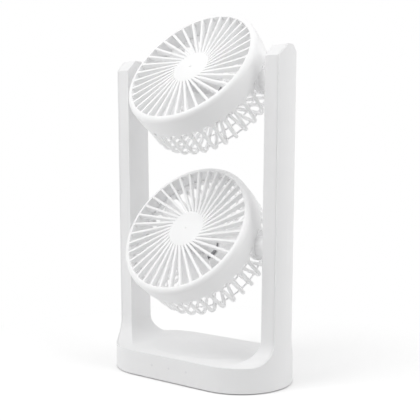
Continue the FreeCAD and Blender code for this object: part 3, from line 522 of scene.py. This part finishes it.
def disc_skin(place):
    """The guard's back disc with a seat for each motor screw's head."""
    steps = 96
    levels = [(DISC_RADIUS - SOFT, GUARD_BACK), (DISC_RADIUS, GUARD_BACK + SOFT), (DISC_RADIUS, DISC_FRONT)]
    rims = [circle(0, 0, radius, steps) for radius, _ in levels]
    points = [place(x, y, height) for rim, (_, height) in zip(rims, levels) for x, y in rim]
    faces = [tuple(range(2 * steps, 3 * steps))]
    for row in range(2):
        for i in range(steps):
            j = (i + 1) % steps
            faces.append((row * steps + i, row * steps + j, (row + 1) * steps + j, (row + 1) * steps + i))
    outlines = [rims[0]]
    numbers = list(range(steps))
    seat_steps = 32
    for x in (-SEAT_PLACE, SEAT_PLACE):
        seat = circle(x, 0, SEAT_RADIUS, seat_steps)
        top = len(points)
        floor = top + seat_steps
        points += [place(*point, GUARD_BACK) for point in seat]
        points += [place(*point, GUARD_BACK + SEAT_DEPTH) for point in seat]
        for i in range(seat_steps):
            j = (i + 1) % seat_steps
            faces.append((top + i, top + j, floor + j, floor + i))
        faces.append(tuple(range(floor, floor + seat_steps)))
        outlines.append(seat)
        numbers += range(top, floor)
    for face in tessellate_polygon([[Vector((x, y, 0)) for x, y in outline] for outline in outlines]):
        faces.append(tuple(numbers[index] for index in face))
    return points, faces


def make_guard(finishes, head):
    place = head_place(head)
    bars = []
    for finger in range(FINGERS):
        angle = FINGER_STEP * (finger + 0.5)
        by_ear = abs(math.sin(angle)) < math.sin(EAR_SIDE)
        bars.append(finger_skin(place, angle, EAR_LOW if by_ear else GUARD_FRONT - FINGER_SINK))
    rounds = [disc_skin(place)]
    for start in (0.0, math.pi):
        rounds.append(band_skin(place, start + EAR_SIDE, start + math.pi - EAR_SIDE))
    for ring in BACK_RINGS:
        section = round_section(HALF_RING, HALF_RING_DEPTH)
        profile = [(ring + out, GUARD_BACK + HALF_RING_DEPTH + deep) for out, deep in section]
        rounds.append(turned_skin(place, profile))
    rounds.append(turned_skin(place, [
        (CUP_INNER, DISC_FRONT), (CUP_OUTER, DISC_FRONT), (CUP_OUTER, CUP_FRONT - SOFT),
        (CUP_OUTER - SOFT, CUP_FRONT), (CUP_INNER + SOFT, CUP_FRONT), (CUP_INNER, CUP_FRONT - SOFT)]))
    for part, skins, finish in (("fingers", bars, "finger_white"), ("frame", rounds, "guard_white")):
        piece = new_piece(f"{head}_guard_{part}", skins, finishes[finish], f"{head}_head")
        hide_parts(f"{head}_rear_guard")


# Front grille with its straight ribs set aside from the middle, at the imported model's other sizes in metres

FACE = 0.0300
FACE_DISH = 0.0026
RIM_RADIUS = 0.0740
RIM_ROUND = 0.0055
SLOT_RADIUS = 0.0680
GRILLE_SPIGOT_INNER = 0.0697
GRILLE_SPIGOT_DEPTH = 0.0040
CENTRE_RADIUS = 0.0198
CENTRE_WALL = 0.0025
CENTRE_THICKNESS = 0.0024
DOT_RADIUS = 0.0013
DOT_DEPTH = 0.0005
RIBS = 36
RIB_STEP = 2 * math.pi / RIBS
RIB_BACK = 0.0240
HALF_RIB = 0.00125
RIB_SOFT = 0.0004
RIB_SINK = 0.00005
RIB_ENDS = (0.0186, 0.0687)
SLOT_SOFT = 0.0002
# How far the ribs pass by the middle, and the direction of one of them
RIB_ASIDE = 0.0090
RIB_TURN = {"lower": math.radians(-2.4), "upper": math.radians(0.6)}


def rib_skin(place, direction):
    """A straight rib beside the middle, with softened front edges, that follows the dished face."""
    inner, outer = (math.sqrt(end ** 2 - RIB_ASIDE ** 2) for end in RIB_ENDS)
    slope = FACE_DISH / (SLOT_RADIUS - CENTRE_RADIUS)
    steps = 6
    loops = []
    for step in range(steps + 1):
        along = inner + (outer - inner) * step / steps
        radius = math.hypot(along, RIB_ASIDE)
        front = FACE - slope * max(SLOT_RADIUS - radius, 0.0) - RIB_SINK
        section = [
            (-HALF_RIB, RIB_BACK), (HALF_RIB, RIB_BACK), (HALF_RIB, front - RIB_SOFT),
            (HALF_RIB - 0.3 * RIB_SOFT, front - 0.3 * RIB_SOFT), (HALF_RIB - RIB_SOFT, front),
            (RIB_SOFT - HALF_RIB, front), (0.3 * RIB_SOFT - HALF_RIB, front - 0.3 * RIB_SOFT),
            (-HALF_RIB, front - RIB_SOFT),
        ]
        loops.append([polar(place, along, direction, height, aside - RIB_ASIDE) for aside, height in section])
    return skin(loops)


def centre_skin(place):
    """The grille's plain disc with a wall behind its edge and a small sunk dot."""
    front = FACE - FACE_DISH
    levels = [
        (CENTRE_RADIUS - CENTRE_WALL, front - CENTRE_THICKNESS), (CENTRE_RADIUS - CENTRE_WALL, RIB_BACK),
        (CENTRE_RADIUS, RIB_BACK), (CENTRE_RADIUS, front - RIB_SOFT),
        (CENTRE_RADIUS - 0.3 * RIB_SOFT, front - 0.3 * RIB_SOFT), (CENTRE_RADIUS - RIB_SOFT, front),
        (DOT_RADIUS, front), (DOT_RADIUS, front - DOT_DEPTH),
    ]
    steps = 96
    angles = [2 * math.pi * step / steps for step in range(steps)]
    return skin([[polar(place, radius, angle, height) for angle in angles] for radius, height in levels])


def rim_skin(place):
    """The grille's rounded rim with the spigot that sits in the drum."""
    line = FACE - RIM_ROUND
    profile = [(SLOT_RADIUS, RIB_BACK), (SLOT_RADIUS, FACE - SLOT_SOFT), (SLOT_RADIUS + SLOT_SOFT, FACE)]
    steps = 12
    for step in range(steps + 1):
        angle = math.pi / 2 * (1 - step / steps)
        profile.append((RIM_RADIUS - RIM_ROUND * (1 - math.cos(angle)), line + RIM_ROUND * math.sin(angle)))
    profile += [
        (SPIGOT_RADIUS, line), (SPIGOT_RADIUS, line - GRILLE_SPIGOT_DEPTH),
        (GRILLE_SPIGOT_INNER, line - GRILLE_SPIGOT_DEPTH), (GRILLE_SPIGOT_INNER, RIB_BACK),
    ]
    return turned_skin(place, profile)


def make_grille(finishes, head):
    place = head_place(head)
    skins = [rim_skin(place), centre_skin(place)]
    for rib in range(RIBS):
        skins.append(rib_skin(place, RIB_TURN[head] + rib * RIB_STEP))
    grille = new_piece(f"{head}_grille", skins, finishes["head_white"], f"{head}_head")
    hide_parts(f"{head}_front_grille")


# Floor, light and camera

# How far round to the fan's left the camera stands
VIEW_SIDE = math.radians(37.12)


def by_ray(tree, lit, seen, out):
    """One shader for the light that reaches the fan, and one for what the eye sees past it."""
    ray = tree.nodes.new("ShaderNodeLightPath")
    both = tree.nodes.new("ShaderNodeMixShader")
    tree.links.new(ray.outputs["Is Camera Ray"], both.inputs["Fac"])
    tree.links.new(lit, both.inputs[1])
    tree.links.new(seen, both.inputs[2])
    tree.links.new(both.outputs["Shader"], out.inputs["Surface"])


# The floor is white paper to the eye. It sends more light up behind the fan than on the camera's side
FLOOR_SEEN = (0.99, 0.99, 0.99, 1.0)
FLOOR_FRONT = (0.58, 0.58, 0.58)
FLOOR_BACK = (0.97, 0.97, 0.97)
FLOOR_REACH = 0.3
# Distance from the fan over which the floor fades into the white backdrop
FADE_START = 0.13
FADE_END = 0.34


def make_floor():
    mesh = bpy.data.meshes.new("floor")
    reach = 6.0
    corners = [(-reach, -reach, 0), (reach, -reach, 0), (reach, reach, 0), (-reach, reach, 0)]
    mesh.from_pydata(corners, [], [(0, 1, 2, 3)])
    floor = bpy.data.objects.new("floor", mesh)
    bpy.context.scene.collection.objects.link(floor)
    material, tree, lit = new_material("floor_paper")
    place = tree.nodes.new("ShaderNodeTexCoord")
    depth = tree.nodes.new("ShaderNodeVectorMath")
    depth.operation = "DOT_PRODUCT"
    depth.inputs[1].default_value = (-math.sin(VIEW_SIDE), math.cos(VIEW_SIDE), 0.0)
    tree.links.new(place.outputs["Object"], depth.inputs[0])
    nearness = add(tree, "ShaderNodeMapRange", From_Min=-FLOOR_REACH, From_Max=FLOOR_REACH)
    tree.links.new(depth.outputs["Value"], nearness.inputs["Value"])
    tone = ramp(tree, nearness.outputs["Result"], FLOOR_FRONT, FLOOR_BACK, 0.0, 1.0)
    tree.links.new(tone, lit.inputs["Base Color"])
    near = tree.nodes.new("ShaderNodeBsdfPrincipled")
    near.inputs["Base Color"].default_value = FLOOR_SEEN
    for shader in (lit, near):
        shader.inputs["Roughness"].default_value = 0.9
        shader.inputs["Specular IOR Level"].default_value = 0.1
    distance = tree.nodes.new("ShaderNodeVectorMath")
    distance.operation = "LENGTH"
    tree.links.new(place.outputs["Object"], distance.inputs[0])
    fade = add(tree, "ShaderNodeMapRange", From_Min=FADE_START, From_Max=FADE_END)
    tree.links.new(distance.outputs["Value"], fade.inputs["Value"])
    backdrop = add(tree, "ShaderNodeEmission", Strength=1.0)
    seen = tree.nodes.new("ShaderNodeMixShader")
    tree.links.new(fade.outputs["Result"], seen.inputs["Fac"])
    tree.links.new(near.outputs["BSDF"], seen.inputs[1])
    tree.links.new(backdrop.outputs["Emission"], seen.inputs[2])
    by_ray(tree, lit.outputs["BSDF"], seen.outputs["Shader"], tree.nodes["Material Output"])
    mesh.materials.append(material)


# Tones of the walls from the back, at 0, round to the camera's side, at 1
WALLS = ((0.0, 0.6), (0.3, 0.78), (0.52, 1.05), (0.76, 1.06), (0.93, 0.05))
WALL_LOW = 1.08
WALL_HIGH = 1.02


def make_world():
    """White studio walls, brighter overhead, dimmer at the back and darkest where the camera stands."""
    world = bpy.data.worlds.new("studio")
    bpy.context.scene.world = world
    world.use_nodes = True
    tree = world.node_tree
    tree.nodes.clear()
    place = tree.nodes.new("ShaderNodeTexCoord")
    side = tree.nodes.new("ShaderNodeVectorMath")
    side.operation = "DOT_PRODUCT"
    side.inputs[1].default_value = (math.sin(VIEW_SIDE), -math.cos(VIEW_SIDE), 0.0)
    tree.links.new(place.outputs["Generated"], side.inputs[0])
    round_about = add(tree, "ShaderNodeMapRange", From_Min=-1.0, From_Max=1.0)
    tree.links.new(side.outputs["Value"], round_about.inputs["Value"])
    walls = tree.nodes.new("ShaderNodeValToRGB")
    stops = walls.color_ramp.elements
    while len(stops) < len(WALLS):
        stops.new(0.5)
    for stop, (position, tone) in zip(stops, WALLS):
        stop.position = position
        stop.color = (tone, tone, tone, 1.0)
    tree.links.new(round_about.outputs["Result"], walls.inputs["Fac"])
    lit = tree.nodes.new("ShaderNodeBackground")
    tree.links.new(walls.outputs["Color"], lit.inputs["Color"])
    height = tree.nodes.new("ShaderNodeSeparateXYZ")
    tree.links.new(place.outputs["Generated"], height.inputs["Vector"])
    tree.links.new(spread(tree, height.outputs["Z"], WALL_LOW, WALL_HIGH), lit.inputs["Strength"])
    seen = add(tree, "ShaderNodeBackground", Strength=1.0)
    seen.inputs["Color"].default_value = (1.0, 1.0, 1.0, 1.0)
    out = tree.nodes.new("ShaderNodeOutputWorld")
    by_ray(tree, lit.outputs["Background"], seen.outputs["Background"], out)


def softbox(name, place, aim, size, power):
    light = bpy.data.lights.new(name, "AREA")
    light.shape = "DISK"
    light.size = size
    light.energy = power
    lamp = bpy.data.objects.new(name, light)
    bpy.context.scene.collection.objects.link(lamp)
    lamp.location = place
    lamp.rotation_euler = (Vector(aim) - Vector(place)).to_track_quat("-Z", "Y").to_euler()
    lamp.visible_camera = False


# Place, aim, width in metres and power in watts
SOFTBOXES = {
    "top_light": ((-0.32, -0.78, 0.95), (0.0, 0.0, 0.2), 0.85, 3.5),
    "right_light": ((0.85, -0.05, 0.7), (0.09, 0.0, 0.2), 0.55, 1.75),
}


# The camera fitted to the photo. It looks down a little, and its focal length is in picture widths
CAMERA_PLACE = (0.4661, -0.6008, 0.2143)
CAMERA_PITCH = math.radians(3.42)
FOCAL_WIDTHS = 737.24 / 420.0
SENSOR_WIDTH = 36.0


def make_camera():
    data = bpy.data.cameras.new("camera")
    data.sensor_width = SENSOR_WIDTH
    data.lens = FOCAL_WIDTHS * SENSOR_WIDTH
    data.clip_end = 50.0
    camera = bpy.data.objects.new("camera", data)
    bpy.context.scene.collection.objects.link(camera)
    camera.location = CAMERA_PLACE
    level = math.cos(CAMERA_PITCH)
    looks = Vector((-math.sin(VIEW_SIDE) * level, math.cos(VIEW_SIDE) * level, -math.sin(CAMERA_PITCH)))
    camera.rotation_euler = looks.to_track_quat("-Z", "Y").to_euler()
    bpy.context.scene.camera = camera


finishes = make_finishes()
dress_nodes(finishes)
soften_edges()
make_base_screws(finishes)
for head in ("lower", "upper"):
    make_grille(finishes, head)
    make_guard(finishes, head)
    make_motor_screws(finishes, head)
make_socket_tongue(finishes)
make_floor()
make_world()
for name, values in SOFTBOXES.items():
    softbox(name, *values)
make_camera()
bpy.context.scene.view_settings.view_transform = "Standard"
# Light goes from white wall to white wall many times inside the heads
DIFFUSE_BOUNCES = 12
bpy.context.scene.cycles.diffuse_bounces = DIFFUSE_BOUNCES
